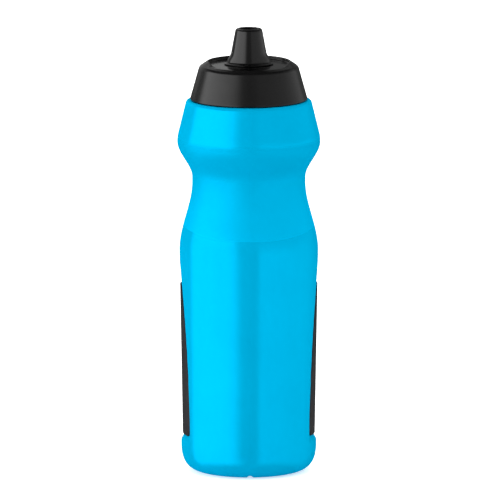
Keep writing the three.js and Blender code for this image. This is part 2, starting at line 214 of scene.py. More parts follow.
def grip_spread(y, z):
    """1 on the grip's outline, less inside it, more outside it."""
    across = np.abs(y) / GRIP_HALF
    return np.where(z > GRIP_CENTRE, np.hypot(across, (z - GRIP_CENTRE) / GRIP_RISE), across)


def body_outline(inset, dome_steps, foot_steps, heights, edge_steps):
    """Half the outline from the middle of the base to the ledge under the neck."""
    dome = [
        (x * (FOOT_RING + inset), y * PUSH_UP + inset) for x, y in arc(0, 0, 1, 90, 0, dome_steps)
    ]
    corner = FOOT_RADIUS - FOOT_CONTACT
    foot = [
        (
            FOOT_CONTACT + (corner - inset) * math.cos(a) ** FOOT_POWER,
            FOOT_HEIGHT - (FOOT_HEIGHT - inset) * math.sin(a) ** FOOT_POWER,
        )
        for a in np.linspace(math.pi / 2, 0, foot_steps + 1)
    ]
    foot[-1] = (FOOT_RADIUS - inset, FOOT_HEIGHT)
    lean = math.atan(SHOULDER_SLOPE)
    edge_z = LEDGE_HEIGHT - SHOULDER_EDGE
    touch = edge_z + SHOULDER_EDGE * math.sin(lean)
    edge_r = float(body_radius(np.array(touch))) - SHOULDER_EDGE * math.cos(lean)
    wall = [(float(body_radius(z)) - inset, z) for z in heights if z < touch - 0.3]
    edge = arc(edge_r, edge_z, SHOULDER_EDGE - inset, math.degrees(lean), 90, edge_steps)
    return dome + foot + wall + edge


def thread_rise(a, z, start_angle, start_height):
    """How far the screw ridge stands out at angle a and height z."""
    out = np.zeros(np.broadcast(a, z).shape)
    sweep = THREAD_TURNS * 2 * math.pi
    first = (a - start_angle) % (2 * math.pi)
    for turn in (first, first + 2 * math.pi):
        off = np.abs(z - start_height - THREAD_LEAD * turn / (2 * math.pi))
        shape = 1 - smooth((off - THREAD_CREST + 0.1) / (THREAD_ROOT - THREAD_CREST + 0.1))
        fade = smooth(turn / THREAD_FADE) * smooth((sweep - turn) / THREAD_FADE)
        out = np.maximum(out, THREAD_DEPTH * shape * fade * (turn < sweep))
    return out


# ------------------------------------------------------------------ body

ROUND = 192  # columns round the large turned pieces
PARTING_OFFSETS = (0.12, 0.25, 0.4, 0.7)  # columns either side of the mould's parting line
DOME_STEPS, FOOT_STEPS = 14, 26


def body_angles():
    """Even columns, with extra ones beside the parting line at the front and back."""
    angles = set(np.linspace(0, 2 * math.pi, ROUND, endpoint=False))
    for middle in (0.5 * math.pi, 1.5 * math.pi):
        for off in PARTING_OFFSETS:
            angles |= {middle - off / GRASP_RADIUS, middle + off / GRASP_RADIUS}
    return sorted(angles)


def recess_depth(y, z):
    """How far the wall sinks round the grips, to leave them proud of it."""
    around = 1 - smooth((grip_spread(y, z) - RECESS_FULL) / (RECESS_END - RECESS_FULL))
    step = smooth((z - RECESS_LOW) / (RECESS_HIGH - RECESS_LOW))
    full = np.maximum(0, body_radius(z) - grip_face(z) + GRIP_PROUD)
    return around * step * full * (z > FOOT_HEIGHT) * (z < GRASP_HEIGHT)


def backing_depth(y, z, radius):
    """How far the wall's inside moves in, to stay behind the grips' seats."""
    seat = grip_face(z) - GRIP_THICKNESS - GRIP_GAP - WALL
    around = 1 - smooth((grip_spread(y, z) - BACKING_FULL) / (BACKING_END - BACKING_FULL))
    above = smooth((z - BACKING_LOW) / 3) * (z < GRASP_HEIGHT)
    return around * above * np.maximum(0, radius - seat)


def parting_line(x, y, z):
    """Height of the mould's line down the front and back, which fades at the bulge's crest."""
    across = np.exp(-((x / PARTING_WIDTH) ** 2)) * (np.abs(y) > np.abs(x))
    ends = smooth((z - 3) / 6) * smooth((LEDGE_HEIGHT - 0.5 - z) / 2)
    height = PARTING_PROUD + PARTING_ON_BULGE * smooth((z - 166) / 8)
    crest = 1 - np.exp(-(((z - BULGE_HEIGHT) / 2) ** 2))
    return across * ends * height * crest


def pinched_seam(x, r):
    """Depth of the seam across the base, where the mould pinched the tube shut."""
    return PINCH_DEPTH * np.exp(-((x / PINCH_WIDTH) ** 2)) * smooth((PINCH_REACH - r) / 2)


def foot_notch(x, y, z, r):
    """Height of the small notch in the foot ring, at the front."""
    across = 1 - smooth((np.abs(x) - NOTCH_HALF) / 1.1)
    along = smooth((r - NOTCH_INNER) / 3) * smooth((NOTCH_TOP - z) / 1.8)
    return NOTCH_DEPTH * across * along * (y < 0)


def shape_body():
    rows = np.concatenate([
        np.arange(15.8, 19.3, 0.25),  # closer rows where the recesses begin
        np.arange(19.6, 114, 1.1),
        np.arange(114.5, 164, 0.9),
        np.arange(164.2, 176, 0.5),  # and round the bulge's crest
        np.arange(176.5, 189.4, 0.9),
    ])
    root, lip = 0.8, 0.6  # fillets at the neck's root and lip
    ledge_r = NECK_RADIUS + root
    outer = body_outline(0, DOME_STEPS, FOOT_STEPS, rows, 8)
    outer += spread([(outer[-1][0] - 0.3, LEDGE_HEIGHT), (ledge_r, LEDGE_HEIGHT)], 1.2, False)
    outer += arc(ledge_r, LEDGE_HEIGHT + root, root, 270, 180, 5)[1:]
    outer += [(NECK_RADIUS, z) for z in np.arange(192.3, 205, 0.2)]
    outer += arc(NECK_RADIUS - lip, NECK_TOP - lip, lip, 0, 90, 5)
    lip_inside = arc(NECK_BORE + lip, NECK_TOP - lip, lip, 90, 180, 5)
    inner = body_outline(WALL, 7, 12, np.arange(16.5, 189, 2.4), 4)
    inner += [(NECK_BORE + 0.5, LEDGE_HEIGHT - WALL), (NECK_BORE, LEDGE_HEIGHT - WALL + 0.5)]
    inner += [(NECK_BORE, z) for z in np.arange(192, 205, 1.6)]
    outline = outer + lip_inside + inner[::-1]

    def place(r, z, a, row):
        x, y = r * np.cos(a), r * np.sin(a)
        outside = row < len(outer)
        shell = r - recess_depth(y, z)
        line = parting_line(x, y, z) * (z < LEDGE_HEIGHT)
        screw = thread_rise(a, z, 0, THREAD_START) * (z > LEDGE_HEIGHT + 1)
        backed = shell - backing_depth(y, z, shell) * (z >= BACKING_LOW)
        radius = np.where(outside, shell + line + screw, backed)
        pinch = pinched_seam(x, r) * (row < DOME_STEPS) * outside
        return radius, z - pinch + foot_notch(x, y, z, r) * outside

    return add_mesh("squeeze_body", *revolved(outline, body_angles(), place, closed=False))


def grip_edge(offset):
    """The grip's outline in (y, z), grown by offset: half an ellipse over a flat edge."""
    top = [
        ((GRIP_HALF + offset) * c, GRIP_CENTRE + (GRIP_RISE + offset) * s)
        for c, s in arc(0, 0, 1, 0, 180, 120)
    ]
    inset, corner = GRIP_HALF - GRIP_CORNER, GRIP_CORNER + offset
    left = arc(-inset, GRIP_CENTRE, corner, 180, 270, 8)[1:]
    right = arc(inset, GRIP_CENTRE, corner, 270, 360, 8)[:-1]
    flat = [(inset * t, GRIP_CENTRE - corner) for t in np.linspace(-1, 1, 12)[1:-1]]
    return np.array(top + left + flat + right)


def grip_form(levels, side):
    """A closed form from (scale, offset, depth) loops; depth is measured in from the grip's face."""
    middle = np.array([0.0, 50.0])
    loops = []
    for scale, offset, depth in levels:
        loop = middle + (grip_edge(offset) - middle) * scale
        y, z = loop.T
        x = np.sqrt((grip_face(z) - depth) ** 2 - y**2)
        loops.append(np.stack([x * side, y * side, z], -1))
    count = len(loops[0])
    points = np.vstack(loops)
    faces = []
    for k in range(len(loops) - 1):
        for i in range(count):
            j = (i + 1) % count
            faces.append((k * count + i, k * count + j, (k + 1) * count + j, (k + 1) * count + i))
    ends = []
    for depth in (levels[0][2], levels[-1][2]):
        ends.append([(grip_face(middle[1]) - depth) * side, 0, middle[1]])
    points = np.vstack([points, ends])
    last = (len(loops) - 1) * count
    for i in range(count):
        j = (i + 1) % count
        faces.append((len(points) - 2, j, i))
        faces.append((len(points) - 1, last + i, last + j))
    return points, faces


# Loops that fill the face of a grip, as shares of its outline.
FACE_SCALES = [0.08, 0.2, 0.34, 0.48, 0.61, 0.73, 0.83, 0.91, 0.97]


def shape_grip(name, side):
    """A grip with a rounded edge, whose underside is a little smaller than its face."""
    edge = 0.6
    under = [(s, -0.3, GRIP_THICKNESS) for s in FACE_SCALES[::2]] + [(1, -0.3, GRIP_THICKNESS)]
    sides = [(1, 0, GRIP_THICKNESS - 0.3), (1, 0, 1.1), (1, 0, edge)]
    turn = [(1, x - edge, edge - y) for x, y in arc(0, 0, edge, 12, 90, 6)]
    face = [(s, -edge, 0) for s in FACE_SCALES[::-1]]
    return add_mesh(name, *grip_form(under + sides + turn + face, side))


def grip_cutter(side):
    """The seat of a grip, with a rounded lip and a wider mouth that clears the wall."""
    edge = 0.2
    floor = GRIP_THICKNESS + GRIP_GAP
    under = [(s, GRIP_GAP, floor) for s in FACE_SCALES[::2]] + [(1, GRIP_GAP, floor)]
    lip = [(1, GRIP_GAP + edge - x, GRIP_PROUD + edge - y) for x, y in arc(0, 0, edge, 0, 80, 5)]
    outside = [(1, GRIP_GAP + 1.2, GRIP_PROUD - 0.9), (1, GRIP_GAP + 1.6, -3)]
    top = [(s, GRIP_GAP + 1.6, -3) for s in FACE_SCALES[::-2]]
    return add_mesh("cutter", *grip_form(under + lip + outside + top, side))


# ------------------------------------------------------------------ lid

LID_LOW, LID_RADIUS, LID_SLOPE, LID_WALL = 191.6, 30.05, 0.281, 1.5
SHOULDER_CENTRE, SHOULDER_HEIGHT, SHOULDER_ROUND = 22.8, 206.63, 2.92  # the skirt's rounded top
RIM_INNER, RIM_TOP, RIM_EDGE = 20.5, 211.25, 0.5
DECK_TOP, DECK_UNDERSIDE, DECK_FILLET = 209.6, 208.1, 0.35
BOSS_RADIUS, BOSS_LOW = 13.4, 206.6
COUNTERBORE_RADIUS, COUNTERBORE_FLOOR, HOLE_RADIUS = 10.6, 208.2, 8.6
COLLAR_INNER, COLLAR_OUTER, COLLAR_LOW = 24.3, 25.6, 194.1
# The raised rim sinks into the deck towards the front, from SINK_FROM of the way round to the
# front, over a further SINK_OVER of it. It loses that share of its height and leans outwards.
SINK_FROM, SINK_OVER, SINK_SHARE, SINK_LEAN = 0.15, 0.5, 0.95, 0.3


def even(columns):
    return np.linspace(0, 2 * math.pi, columns, endpoint=False)


def rim_drop(r, z, a):
    """How far a place on the raised rim sinks."""
    over = np.maximum(r - SHOULDER_CENTRE, 0)
    dome = SHOULDER_HEIGHT + np.sqrt(np.maximum(SHOULDER_ROUND**2 - over**2, 0))
    under = np.minimum(DECK_TOP, dome)
    on_rim = (r > RIM_INNER - DECK_FILLET - 0.01) & (over < SHOULDER_ROUND) & (z > under)
    return (z - under) * on_rim * SINK_SHARE * smooth((-np.sin(a) - SINK_FROM) / SINK_OVER)


def shape_lid():
    lean = math.degrees(math.atan(LID_SLOPE))
    inner_low = LID_RADIUS - LID_WALL

    def inside(z):
        return inner_low - LID_SLOPE * (z - LID_LOW)

    # the pocket between skirt and collar is 0.5 wide at its closed end
    pocket_top = LID_LOW + (inner_low - COLLAR_OUTER - 0.5) / LID_SLOPE
    skirt_top = LID_LOW + 14
    skirt = rounded([
        (inner_low, LID_LOW, 0.35),
        (LID_RADIUS, LID_LOW, 0.5),
        (LID_RADIUS - LID_SLOPE * (skirt_top - LID_LOW), skirt_top),
    ])
    outside = (
        skirt[:-1]
        + arc(SHOULDER_CENTRE, SHOULDER_HEIGHT, SHOULDER_ROUND, lean, 58, 9)
        + arc(RIM_INNER + RIM_EDGE, RIM_TOP - RIM_EDGE, RIM_EDGE, 56, 180, 8)
        + arc(RIM_INNER - DECK_FILLET, DECK_TOP + DECK_FILLET, DECK_FILLET, 0, -90, 5)
    )
    hole = [
        (COUNTERBORE_RADIUS, DECK_TOP),
        (COUNTERBORE_RADIUS, COUNTERBORE_FLOOR),
        (HOLE_RADIUS, COUNTERBORE_FLOOR),
        (HOLE_RADIUS, BOSS_LOW),
    ]
    ceiling = rounded([
        (BOSS_RADIUS - 0.5, BOSS_LOW),
        (BOSS_RADIUS, DECK_UNDERSIDE, 0.3),
        (COLLAR_INNER, DECK_UNDERSIDE, 0.6),
        (COLLAR_INNER, 207),
    ])[:-1]
    threaded = [(COLLAR_INNER, z) for z in np.arange(206.9, 194.6, -0.2)]
    collar = rounded([
        (COLLAR_INNER, COLLAR_LOW + 0.5),
        (COLLAR_INNER, COLLAR_LOW, 0.4),
        (COLLAR_OUTER, COLLAR_LOW, 0.3),
        (COLLAR_OUTER, 197),
    ])[1:-1]
    pocket = [
        (COLLAR_OUTER, pocket_top - 0.3),
        (COLLAR_OUTER + 0.25, pocket_top),
        (inside(pocket_top - 0.3), pocket_top - 0.3),
    ]

    def place(r, z, a, row):
        on_collar = (np.abs(r - COLLAR_INNER) < 0.01) & (z > 194.5) & (z < 207)
        drop = rim_drop(r, z, a)
        thread = thread_rise(a, z, math.pi, THREAD_START) * on_collar
        return r + SINK_LEAN * drop - thread, z - drop

    outline = spread(outside + hole + ceiling + threaded + collar + pocket, 1.3)
    return add_mesh("screw_lid", *revolved(outline, even(ROUND), place))


def shape_washer():
    inner, outer, low, high = 20.7, 23.9, 206.3, 207.8
    corners = [(inner, low, 0.3), (outer, low, 0.45), (outer, high, 0.45), (inner, high, 0.3)]
    return add_mesh("lid_washer", *revolved(spread(rounded(corners), 0.8), even(160)))


# ------------------------------------------------------------------ valve and spout

TOWER_BORE, TOWER_RADIUS, TOWER_COLLAR = 4.3, 5.8, 6.4
TOWER_LOW, TOWER_TOP, COLLAR_FROM = 206.9, 222.2, 218.6
GROOVE_RADIUS, GROOVE_LOW, GROOVE_HIGH = 5.2, 219.6, 221.2
FLANGE_RADIUS, FLANGE_LOW = 10.3, 208.5
SNAP_INNER, SNAP_OUTER, BARB_RADIUS, SNAP_LOW = 7.1, 8.3, 9.0, 205.6
PLUG_STEM, PLUG_HEAD, PLUG_LOW, PLUG_TOP = 1.8, 4.2, 213, 226.6
RIBS, RIB_HALF, RIB_HEIGHT = 3, 0.6, 2.6
SEAL_RADIUS, SEAL_WIRE, SEAL_HEIGHT = 5.95, 0.6, 220.4

SPOUT_LOW, SPOUT_TOP, SPOUT_SLOPE, SPOUT_LIP = 209.9, 228, 0.187, 1.2
SPOUT_NECK, SPOUT_FILLET, SPOUT_FLANGE, SPOUT_EDGE = 9.8, 1.5, 11.4, 0.3
SPOUT_BORE, SPOUT_BEAD, MOUTH_RADIUS, MOUTH_LOW = 6.6, 6.1, 4.5, 224.6
TAB_REACH, TAB_TOP, TAB_FADE, TAB_NARROWNESS = 1.1, 215.6, 4.2, 6


def valve_outline():
    """The tower, with its collar and O-ring groove, on the flange and the snap ring under it."""
    return rounded([
        (TOWER_BORE, TOWER_LOW, 0.25),
        (TOWER_RADIUS, TOWER_LOW, 0.25),
        (TOWER_RADIUS, FLANGE_LOW, 0.3),
        (SNAP_INNER, FLANGE_LOW, 0.3),
        (SNAP_INNER, SNAP_LOW, 0.2),
        (SNAP_OUTER - 0.3, SNAP_LOW, 0.2),
        (BARB_RADIUS, SNAP_LOW + 0.4, 0.15),
        (BARB_RADIUS, SNAP_LOW + 0.7, 0.1),
        (SNAP_OUTER, SNAP_LOW + 0.7, 0.1),
        (SNAP_OUTER, FLANGE_LOW, 0.1),
        (FLANGE_RADIUS, FLANGE_LOW, 0.15),
        (FLANGE_RADIUS, DECK_TOP, 0.25),
        (TOWER_RADIUS, DECK_TOP, 0.5),
        (TOWER_RADIUS, COLLAR_FROM, 0.2),
        (TOWER_COLLAR, COLLAR_FROM, 0.2),
        (TOWER_COLLAR, GROOVE_LOW, 0.12),
        (GROOVE_RADIUS, GROOVE_LOW, 0.15),
        (GROOVE_RADIUS, GROOVE_HIGH, 0.15),
        (TOWER_COLLAR, GROOVE_HIGH, 0.12),
        (TOWER_COLLAR, TOWER_TOP, 0.3),
        (TOWER_BORE, TOWER_TOP, 0.25),
    ])


def shape_post():
    """The post in the middle of the tower, with the head that plugs the spout's mouth."""
    plug = rounded([
        (0, PLUG_LOW),
        (PLUG_STEM, PLUG_LOW, 0.3),
        (PLUG_STEM, 222.6, 0.5),
        (PLUG_HEAD, 225.0, 0.3),
        (PLUG_HEAD, PLUG_TOP, 0.5),
        (0, PLUG_TOP),
    ])
    plug = plug[:-1] + [(r, PLUG_TOP) for r in (2.6, 1.6, 0.8)] + plug[-1:]
    return add_mesh("post", *revolved(spread(plug, 1.2, False), even(64), closed=False))


def shape_rib(turn):
    """One of the ribs that hold the post in the tower."""
    inner, outer = 1.2, 4.8
    rib = rounded([(inner, -RIB_HALF), (outer, -RIB_HALF), (outer, RIB_HALF), (inner, RIB_HALF)])
    c, s = math.cos(turn), math.sin(turn)
    levels = (PLUG_LOW, PLUG_LOW + RIB_HEIGHT)
    points = [(x * c - y * s, x * s + y * c, z) for z in levels for x, y in rib]
    sides = [(i, (i + 1) % 4, 4 + (i + 1) % 4, 4 + i) for i in range(4)]
    return add_mesh("rib", points, [(3, 2, 1, 0), (4, 5, 6, 7)] + sides)


def shape_valve():
    valve = add_mesh("valve_core", *revolved(spread(valve_outline(), 1.2), even(96)))
    post = shape_post()
    ribs = [shape_rib(turn) for turn in even(RIBS)]
    combine(valve, ribs + [post], "UNION")
    return valve


def shape_spout():
    lean = math.atan(SPOUT_SLOPE)
    cone_foot = SPOUT_LOW + SPOUT_EDGE + SPOUT_FILLET
    fillet_r = SPOUT_NECK + SPOUT_FILLET
    flange = rounded([
        (SPOUT_BORE + 0.6, SPOUT_LOW),
        (SPOUT_FLANGE, SPOUT_LOW, 0.08),
        (SPOUT_FLANGE, SPOUT_LOW + SPOUT_EDGE, 0.12),
        (fillet_r, SPOUT_LOW + SPOUT_EDGE),
    ])
    lip_z = SPOUT_TOP - SPOUT_LIP
    touch = lip_z + SPOUT_LIP * math.sin(lean)
    lip_r = SPOUT_NECK - SPOUT_SLOPE * (touch - cone_foot) - SPOUT_LIP * math.cos(lean)
    mouth = rounded([
        (MOUTH_RADIUS + 0.9, SPOUT_TOP),
        (MOUTH_RADIUS, SPOUT_TOP, 0.5),
        (MOUTH_RADIUS, MOUTH_LOW, 0.2),
        (MOUTH_RADIUS + 0.9, MOUTH_LOW - 0.4),
    ])[1:-1]
    bore = rounded([
        (5.5, 224.1),
        (SPOUT_BORE, 223.5, 0.5),
        (SPOUT_BORE, SPOUT_LOW + 2.6, 0.2),
        (SPOUT_BEAD, SPOUT_LOW + 2.2, 0.2),
        (SPOUT_BEAD, SPOUT_LOW + 1.4, 0.2),
        (SPOUT_BORE, SPOUT_LOW + 0.9, 0.2),
        (SPOUT_BORE + 0.6, SPOUT_LOW, 0.1),
        (8, SPOUT_LOW),
    ])[1:-1]
    outline = (
        flange[:-1]
        + arc(fillet_r, cone_foot, SPOUT_FILLET, 270, 180 + math.degrees(lean), 10)
        + arc(lip_r, lip_z, SPOUT_LIP, math.degrees(lean), 90, 9)
        + mouth
        + bore
    )

    def place(r, z, a, row):
        # two pulling tabs sweep out of the foot, to the left and right
        tabs = TAB_REACH * np.abs(np.cos(a)) ** TAB_NARROWNESS * smooth((TAB_TOP - z) / TAB_FADE)
        return r + tabs * (r > SPOUT_BORE + 1), z

    return add_mesh("push_pull_spout", *revolved(spread(outline, 0.8), even(160), place))


def shape_seal():
    outline = arc(SEAL_RADIUS, SEAL_HEIGHT, SEAL_WIRE, -90, 270, 20)[:-1]
    return add_mesh("spout_o_ring", *revolved(outline, even(96)))


# ------------------------------------------------------------------ materials


class Nodes:
    """Short calls for building one material's node tree."""

    def __init__(self, name):
        self.material = bpy.data.materials.new(name)
        self.material.use_nodes = True
        self.tree = self.material.node_tree
        self.shader = self.tree.nodes["Principled BSDF"]
        self.place = self.tree.nodes.new("ShaderNodeTexCoord").outputs["Object"]

    def put(self, socket, value):
        if isinstance(value, bpy.types.NodeSocket):
            self.tree.links.new(value, socket)
        else:
            socket.default_value = value

    def math(self, operation, *values):
        node = self.tree.nodes.new("ShaderNodeMath")
        node.operation = operation
        for socket, value in zip(node.inputs, values):
            self.put(socket, value)
        return node.outputs[0]

    def split(self):
        node = self.tree.nodes.new("ShaderNodeSeparateXYZ")
        self.put(node.inputs[0], self.place)
        return node.outputs

    def stretched(self, scale):
        node = self.tree.nodes.new("ShaderNodeMapping")
        self.put(node.inputs["Vector"], self.place)
        node.inputs["Scale"].default_value = scale
        return node.outputs[0]

    def noise(self, size_mm, detail=3.0, roughness=0.5, where=None):
        """Noise from 0 to 1 with blotches about size_mm wide."""
        node = self.tree.nodes.new("ShaderNodeTexNoise")
        self.put(node.inputs["Vector"], where or self.place)
        node.inputs["Scale"].default_value = 1 / (size_mm * MM)
        node.inputs["Detail"].default_value = detail
        node.inputs["Roughness"].default_value = roughness
        return node.outputs["Fac"]

    def remap(self, value, low, high, to_low=0.0, to_high=1.0, soft=False):
        node = self.tree.nodes.new("ShaderNodeMapRange")
        node.interpolation_type = "SMOOTHSTEP" if soft else "LINEAR"
        for socket, item in zip(node.inputs, (value, low, high, to_low, to_high)):
            self.put(socket, item)
        return node.outputs[0]

    def mix(self, amount, first, second):
        node = self.tree.nodes.new("ShaderNodeMix")
        node.data_type = "RGBA"
        self.put(node.inputs[0], amount)
        self.put(node.inputs[6], first)
        self.put(node.inputs[7], second)
        return node.outputs[2]

    def bump(self, height_mm, depth_mm, before=None):
        """Bump from a 0 to 1 height, that deep in millimetres."""
        node = self.tree.nodes.new("ShaderNodeBump")
        node.inputs["Strength"].default_value = 1
        node.inputs["Distance"].default_value = depth_mm * MM
        self.put(node.inputs["Height"], height_mm)
        if before is not None:
            self.put(node.inputs["Normal"], before)
        return node.outputs[0]

    def end(self, colour, roughness, normal, ior=1.5, specular=0.5):
        self.put(self.shader.inputs["Base Color"], colour)
        self.put(self.shader.inputs["Roughness"], roughness)
        self.put(self.shader.inputs["Normal"], normal)
        self.shader.inputs["IOR"].default_value = ior
        self.shader.inputs["Specular IOR Level"].default_value = specular
        return self.material


# Heights in metres of the body's matte band, and how its lower edge rises towards the sides.
BAND_LOW, BAND_TOP, BAND_SIDE, BAND_RISE = 0.1233, 0.1715, 0.033, 0.0036


def grey(value, blue=1.0):
    return (value, value, value * blue, 1)


def body_material():
    """Blow-moulded polyethylene: glossy, with a finely textured matte band round the waist, whose
    colour carries painted shade under the bulge.
    """
    n = Nodes("cyan_polyethylene")
    x, _, z = n.split()
    # the band's lower edge rises towards the sides
    side = n.math("POWER", n.math("MULTIPLY", n.math("ABSOLUTE", x), 1 / BAND_SIDE), 3)
    height = n.math("SUBTRACT", z, n.math("MULTIPLY", side, BAND_RISE))
    above = n.remap(height, BAND_LOW - 0.0004, BAND_LOW + 0.0004, soft=True)
    below = n.remap(z, BAND_TOP - 0.001, BAND_TOP + 0.001, 1, 0, soft=True)
    matte = n.math("MULTIPLY", above, below)
    clouds = n.noise(26, 2)
    streaks = n.noise(5, 3, 0.6, n.stretched((1, 1, 0.08)))
    tone = n.math("ADD", n.math("MULTIPLY", clouds, 0.6), n.math("MULTIPLY", streaks, 0.4))
    glossy_colour = n.mix(n.remap(tone, 0.35, 0.65), (0, 0.320, 0.555, 1), (0, 0.337, 0.58, 1))
    # painted shade: the matte band's colour darkens from 136 to 158 mm high, up the waist onto the
    # bulge's underside
    matte_colour_painted_shade = n.mix(n.remap(z, 0.136, 0.158), (0, 0.362, 0.625, 1), (0, 0.292, 0.508, 1))
    colour = n.mix(matte, glossy_colour, matte_colour_painted_shade)
    scuffs = n.noise(3.2, 5, 0.7, n.stretched((1, 1, 0.35)))
    from_crest = n.math("ABSOLUTE", n.math("SUBTRACT", z, BAND_TOP + 0.0005))
    crest = n.remap(from_crest, 0.0, 0.006, 1, 0, soft=True)
    foot = n.remap(z, 0.0, 0.006, 1, 0, soft=True)
    worn = n.math("MULTIPLY", n.math("ADD", crest, foot), n.remap(scuffs, 0.5, 0.72))
    gloss = n.remap(n.noise(9, 4, 0.6), 0.3, 0.7, 0.13, 0.165)
    satin = n.remap(n.noise(4, 4, 0.6), 0.3, 0.7, 0.40, 0.47)
    rough = n.math("ADD", gloss, n.math("MULTIPLY", matte, n.math("SUBTRACT", satin, gloss)))
    rough = n.math("ADD", rough, n.math("MULTIPLY", worn, 0.10))
    wave = n.bump(n.noise(17, 1.5), 0.05)
    skin = n.bump(n.noise(1.6, 3, 0.55), 0.0022, wave)
    grain = n.bump(n.math("MULTIPLY", n.noise(0.42, 2, 0.5), matte), 0.022, skin)
    n.shader.inputs["Metallic"].default_value = 0.24  # the pigment tints the reflections
    n.shader.inputs["Specular Tint"].default_value = (0, 0.9, 1, 1)
    return n.end(colour, rough, grain, specular=0.0)


def lid_material(name, shade, rough_low, rough_high, specular):
    """Black injection-moulded polypropylene, glossier on the lid's deck."""
    n = Nodes(name)
    x, y, z = n.split()
    clouds = n.remap(n.noise(12, 3), 0.3, 0.7)
    colour = n.mix(clouds, grey(shade * 0.9, 1.03), grey(shade * 1.1, 1.03))
    radius = n.math("SQRT", n.math("ADD", n.math("MULTIPLY", x, x), n.math("MULTIPLY", y, y)))
    deck_z = DECK_TOP * MM
    level = n.math(
        "MULTIPLY",
        n.remap(z, deck_z - 0.0005, deck_z - 0.0002),
        n.remap(z, deck_z + 0.0002, deck_z + 0.0005, 1, 0),
    )
    on_deck = n.math("MULTIPLY", n.remap(radius, 0.0225, 0.0232, 1, 0), level)
    rough = n.remap(n.noise(5, 4, 0.6), 0.3, 0.7, rough_low, rough_high)
    deck = n.remap(n.noise(7, 4, 0.6), 0.3, 0.7, 0.13, 0.17)
    rough = n.math("ADD", rough, n.math("MULTIPLY", on_deck, n.math("SUBTRACT", deck, rough)))
    skin = n.bump(n.noise(1.1, 3, 0.55), 0.0009)
    grain = n.bump(n.noise(0.3, 2, 0.5), 0.0008, skin)
    return n.end(colour, rough, grain, specular=specular)


def rubber_material(name, shade, roughness, stipple_mm, depth_mm):
    """Matte moulded rubber with a stippled skin and a little dust in it."""
    n = Nodes(name)
    cells = n.tree.nodes.new("ShaderNodeTexVoronoi")
    n.put(cells.inputs["Vector"], n.place)
    cells.inputs["Scale"].default_value = 1 / (stipple_mm * MM)
    cells.feature = "SMOOTH_F1"
    stipple = n.remap(cells.outputs["Distance"], 0.0, 0.7, 1, 0)
    dust = n.remap(n.noise(6, 5, 0.65), 0.42, 0.75)
    colour = n.mix(n.math("MULTIPLY", dust, 0.6), shade, tuple(c * 1.35 for c in shade[:3]) + (1,))
    rough = n.remap(n.noise(2.5, 3), 0.3, 0.7, roughness - 0.04, roughness + 0.05)
    wave = n.bump(n.noise(9, 2), 0.03)
    return n.end(colour, rough, n.bump(stipple, depth_mm, wave), specular=0.25)


def silicone_material():
    """Milky silicone with a faint mottling."""
    n = Nodes("milky_silicone")
    mottle = n.remap(n.noise(3, 3), 0.3, 0.7)
    colour = n.mix(mottle, (0.70, 0.71, 0.70, 1), (0.78, 0.79, 0.78, 1))
    rough = n.remap(n.noise(1.5, 3), 0.3, 0.7, 0.42, 0.52)
    material = n.end(colour, rough, n.bump(n.noise(0.8, 3), 0.004), ior=1.41)
    n.shader.inputs["Subsurface Weight"].default_value = 0.25
    n.shader.inputs["Subsurface Radius"].default_value = (1, 1, 1)
    n.shader.inputs["Subsurface Scale"].default_value = 0.0012
    return material


# ------------------------------------------------------------------ the bottle

CYAN = body_material()
BLACK_LID = lid_material("black_polypropylene_lid", 0.003, 0.22, 0.27, 0.31)
BLACK_SPOUT = lid_material("black_polypropylene_spout", 0.003, 0.13, 0.17, 0.31)
BLACK_VALVE = lid_material("black_polypropylene_valve", 0.010, 0.15, 0.19, 0.24)
RUBBER = rubber_material("grip_rubber", (0.0085, 0.0085, 0.0105, 1), 0.66, 0.55, 0.035)
NITRILE = rubber_material("nitrile_rubber", (0.012, 0.012, 0.013, 1), 0.45, 0.25, 0.004)
SILICONE = silicone_material()

squeeze_body = shape_body()
combine(squeeze_body, [grip_cutter(1), grip_cutter(-1)], "DIFFERENCE")
finished(squeeze_body, "bottle_body", "bottle", CYAN)
finished(shape_grip("grip_pad_right", 1), "grip_right", "bottle", RUBBER)
finished(shape_grip("grip_pad_left", -1), "grip_left", "bottle", RUBBER)
finished(shape_washer(), "lid_gasket", "washer", SILICONE)
finished(shape_lid(), "lid_shell", "lid", BLACK_LID)
finished(shape_valve(), "valve_insert", "lid", BLACK_VALVE)
finished(shape_seal(), "spout_seal", "lid", NITRILE)
finished(shape_spout(), "spout", "spout", BLACK_SPOUT)

# ------------------------------------------------------------------ floor, light, camera


def floor():
    reach = 6000
    corners = [(-reach, -reach, 0), (reach, -reach, 0), (reach, reach, 0), (-reach, reach, 0)]
    obj = add_mesh("floor", corners, [(0, 1, 2, 3)])
    n = Nodes("pale_floor")
    n.end((0.8, 0.8, 0.8, 1), 0.9, n.bump(n.noise(2, 2), 0.001), specular=0.0)
    n.shader.inputs["Emission Color"].default_value = (1, 1, 1, 1)
    n.shader.inputs["Emission Strength"].default_value = 0.56
    obj.data.materials.append(n.material)
    obj.visible_glossy = False


def card(name, left, right, glow):
    """A dim white card behind half of the bottle, which the lid's deck reflects."""
    back, low, high = 350, 200, 420
    corners = [(left, back, low), (right, back, low), (right, back, high), (left, back, high)]
    obj = add_mesh(name, corners, [(0, 1, 2, 3)])
    material = bpy.data.materials.new(name + "_glow")
    material.use_nodes = True
    shader = material.node_tree.nodes["Principled BSDF"]
    shader.inputs["Base Color"].default_value = (0, 0, 0, 1)
    shader.inputs["Specular IOR Level"].default_value = 0
    shader.inputs["Emission Color"].default_value = (1, 1, 1, 1)
    shader.inputs["Emission Strength"].default_value = glow
    obj.data.materials.append(material)
    obj.visible_camera = False


def ramp(tree, value, stops):
    """A colour ramp through stops of (place from 0 to 1, brightness)."""
    node = tree.nodes.new("ShaderNodeValToRGB")
    elements = node.color_ramp.elements
    while len(elements) < len(stops):
        elements.new(0.5)
    for element, (at, level) in zip(elements, stops):
        element.position, element.color = at, (level, level, level, 1)
    tree.links.new(value, node.inputs[0])
    return node.outputs[0]


